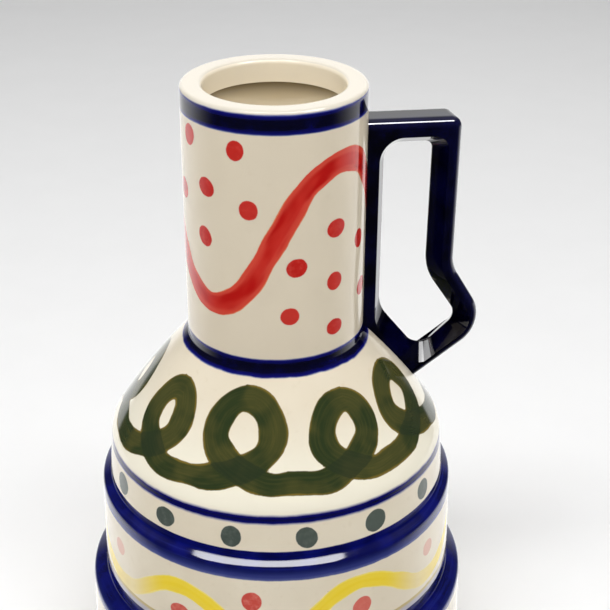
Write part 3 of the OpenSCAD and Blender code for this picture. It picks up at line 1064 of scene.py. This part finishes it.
def rounded(corners, rounds, d):
    """A rounded outline moved out by d, with a support point beside each rounding."""
    points = []
    n = len(corners)
    for i, r in enumerate(rounds):
        a, b, c = corners[i - 1], corners[i], corners[(i + 1) % n]
        u, w = unit(b - a), unit(c - b)
        n1, n2 = left(u), left(w)
        s = 1 if u[0] * w[1] - u[1] * w[0] < 0 else -1
        mid = b - s * r * (n1 + n2) / (1 + n1 @ n2)
        shares = np.linspace(0, 1, CORNER_STEPS)
        arc = [mid + (s * r + d) * unit(n1 * (1 - t) + n2 * t) for t in shares]
        points += [arc[0] - SUPPORT * u] + arc + [arc[-1] + SUPPORT * w]
    return np.array(points)


def handle_frame():
    """The closed frame: rounded outer edges, and a finger side that slopes back to the middle."""
    turns = np.radians(np.linspace(0, 90, EDGE_STEPS))
    flat = HANDLE_T / 2 - HANDLE_ROUND
    inset = np.concatenate([[0], HANDLE_ROUND * (1 - np.cos(turns)), [HANDLE_ROUND + SUPPORT]])
    outer_off = np.concatenate([[flat - SUPPORT], flat + HANDLE_ROUND * np.sin(turns), [HANDLE_T / 2]])
    outer = [rounded(outer_corners(), OUTER_ROUNDS, -d) for d in inset]
    finger = np.radians(np.linspace(FINGER_FROM, 90, 2 * EDGE_STEPS))
    mid = rounded(gap_corners(0, 0, 0), GAP_ROUNDS, 0)
    face = rounded(gap_corners(FINGER_D, FOOT_D, FOOT_OUT), FACE_ROUNDS, 0)
    gap = [face + (mid - face) * c for c in np.cos(finger) ** FINGER_POWER]
    gap_off = HANDLE_T / 2 * np.sin(finger) ** FINGER_POWER
    sides = []
    for front in (-1, 1):
        sides.append([np.insert(line, 1, front * y, axis=1) for line, y in zip(outer, outer_off)])
        sides.append([np.insert(line, 1, front * y, axis=1) for line, y in zip(gap, gap_off)])
    order = [sides[0], sides[1][::-1], sides[3], sides[2][::-1]]
    stations = np.stack([line for ring in order for line in ring], 1)
    n, m = stations.shape[:2]
    faces = []
    for i in range(n):
        for k in range(m):
            p, q = (i + 1) % n, (k + 1) % m
            faces.append((i * m + k, i * m + q, p * m + q, p * m + k))
    obj = make("handle_swept", stations.reshape(-1, 3), faces)
    crest = np.concatenate([[0], np.sin(2 * turns), [0]])
    edge = np.concatenate([crest, np.zeros(4 * EDGE_STEPS), crest])
    store(obj, "edge", np.tile(edge, n))
    return obj


def core():
    """The vase's filled body, a little smaller, to cut the handle's buried side away."""
    inner = NECK_R / 2
    top = math.degrees(math.atan2(Z_NECK - DOME_C[1], NECK_R - BURY - DOME_C[0]))
    line = np.vstack([
        [(BAND_R - CORE_IN, Z_BAND)],
        bend(DOME_C, DOME_R - BURY, EDGE_ANGLE, top, step=1.5),
        [(NECK_R - BURY, Z_NECK), (NECK_R - BURY, Z_TOP), (inner, Z_TOP), (inner, Z_BAND)],
    ])
    return lathe("core", line, CORE_COLUMNS)


handle = handle_frame()
cutter = core()
cut = handle.modifiers.new("cut", "BOOLEAN")
cut.operation = "DIFFERENCE"
cut.solver = "MANIFOLD"
cut.object = cutter
bpy.context.view_layer.update()
shaped = bpy.data.meshes.new_from_object(handle.evaluated_get(bpy.context.evaluated_depsgraph_get()))
handle.modifiers.clear()
handle.data = shaped
handle.data.materials.clear()
bpy.data.objects.remove(cutter)
shaped.set_sharp_from_angle(angle=SHARP)
for layer in list(shaped.uv_layers):
    shaped.uv_layers.remove(layer)
dress(handle, navy_glaze(), "handle")


# Camera, in millimetres from the middle of the rim's top. PHOTO_TURN turns the handle to the back.

PHOTO_TURN = math.radians(16)
PICTURE = 610
FOCAL = 1314.7
PITCH = math.radians(27.37)
ROLL = -0.0053
EYE = Vector((15.1, -598.9, 191.0))
to_part = Matrix.Rotation(-PHOTO_TURN, 3, "Z")


def place(x, y, z):
    """A point given as the photograph sees it: right, back and up from the foot, in metres."""
    return to_part @ Vector((x, y, z))


def standing(axes, at):
    """A matrix that puts an object at a point, with its own three axes along the given ones."""
    return Matrix([[*(a[i] for a in axes), at[i]] for i in range(3)] + [[0, 0, 0, 1]])


def camera():
    data = bpy.data.cameras.new("camera")
    data.sensor_width = 36
    data.lens = data.sensor_width * FOCAL / PICTURE
    data.clip_start = 0.05
    data.clip_end = 60
    obj = bpy.data.objects.new("camera", data)
    ahead = Vector((0, math.cos(PITCH), -math.sin(PITCH)))
    up = Vector((0, math.sin(PITCH), math.cos(PITCH)))
    right = Vector((1, 0, 0))
    right, up = (
        math.cos(ROLL) * right - math.sin(ROLL) * up,
        math.sin(ROLL) * right + math.cos(ROLL) * up,
    )
    axes = [to_part @ v for v in (right, up, -ahead)]
    eye = to_part @ (EYE * MM) + Vector((0, 0, Z_TOP * MM))
    obj.matrix_world = standing(axes, eye)
    bpy.context.scene.collection.objects.link(obj)
    bpy.context.scene.camera = obj


# Floor and lights

def floor():
    reach = 30.0
    mesh = bpy.data.meshes.new("floor")
    corners = [(-reach, -reach, 0), (reach, -reach, 0), (reach, reach, 0), (-reach, reach, 0)]
    mesh.from_pydata(corners, [], [(0, 1, 2, 3)])
    obj = bpy.data.objects.new("floor", mesh)
    bpy.context.scene.collection.objects.link(obj)
    s = Shader("floor_paper")
    grain = s.rise(s.noise(60, 2.0), 0.3, 0.7)
    s.feed(s.bsdf.inputs["Base Color"], s.mix(grain, linear("#F4F4F4"), linear("#F3F3F3")))
    s.bsdf.inputs["Roughness"].default_value = 0.9
    s.bsdf.inputs["Specular IOR Level"].default_value = 0.1
    mesh.materials.append(s.mat)
    # The glaze mirrors the sky's lower half in place of the floor
    obj.visible_glossy = False


def softbox(name, at, towards, width, height, power, mirrored=True, lit=True):
    """A light panel, placed as the photograph sees it. Unlit, it only shows in the glaze."""
    data = bpy.data.lights.new(name, "AREA")
    data.shape = "RECTANGLE"
    data.size = width
    data.size_y = height
    data.energy = power
    obj = bpy.data.objects.new(name, data)
    spot = place(*at)
    ahead = (place(*towards) - spot).normalized()
    across = place(1, 0, 0)
    across = (across - across.dot(ahead) * ahead).normalized()
    obj.matrix_world = standing((across, across.cross(ahead), -ahead), spot)
    obj.visible_camera = False
    obj.visible_glossy = mirrored
    obj.visible_diffuse = lit
    bpy.context.scene.collection.objects.link(obj)


def sky():
    """What the glaze mirrors: a bright sweep and floor behind, dark sides and front, a dim ceiling."""
    world = bpy.data.worlds.new("studio")
    bpy.context.scene.world = world
    s = Nodes(world)
    ray = s.add("TexCoord").outputs["Generated"]
    height = s.vector("DOT_PRODUCT", ray, (0, 0, 1), "Value")
    level = s.vector("NORMALIZE", s.vector("MULTIPLY", ray, (1, 1, 0)))
    back = s.vector("DOT_PRODUCT", level, to_part @ Vector((0, 1, 0)), "Value")
    ground = s.between(back, -0.3, 0.6, 0.04, 1.25)
    panel = s.between(back, 0.72, 0.92, 0.05, 1.1)
    walls = s.between(height, -0.16, -0.12, ground, panel)
    ceiling = s.between(back, -0.3, 0.5, 0.04, 0.3)
    strength = s.between(height, 0.45, 0.75, walls, ceiling)
    light = s.add("Background", {"Color": (1, 1, 1, 1), "Strength": strength})
    s.add("OutputWorld", {0: light.outputs[0]})


camera()
floor()
sky()
softbox("key", (-0.135, -0.735, 2.2), (-0.135, -0.735, 0), 2.45, 0.53, 45)
softbox("back_fill", (0.1, 1.1, 1.9), (0, 0.9, 0), 2.0, 1.6, 9, mirrored=False)
softbox("edge_light", (0.28, -0.118, 0.7), (0.28, -0.118, 0), 0.18, 0.115, 1.04, lit=False)
softbox("top_fill", (0.5, -0.5, 2.6), (0, -0.2, 0), 3.0, 3.0, 7.5, mirrored=False)
softbox("mouth_fill", (0, 0, 0.24), (0, 0, 0.34), 0.05, 0.05, 0.0095, mirrored=False)
softbox("left_fill", (-1.3, -0.4, 0.7), (0, 0, 0.2), 1.0, 1.0, 3.0, mirrored=False)
softbox("right_fill", (1.3, -0.3, 0.6), (0, 0, 0.15), 1.0, 1.0, 3.0, mirrored=False)

bpy.context.scene.view_settings.view_transform = "Standard"
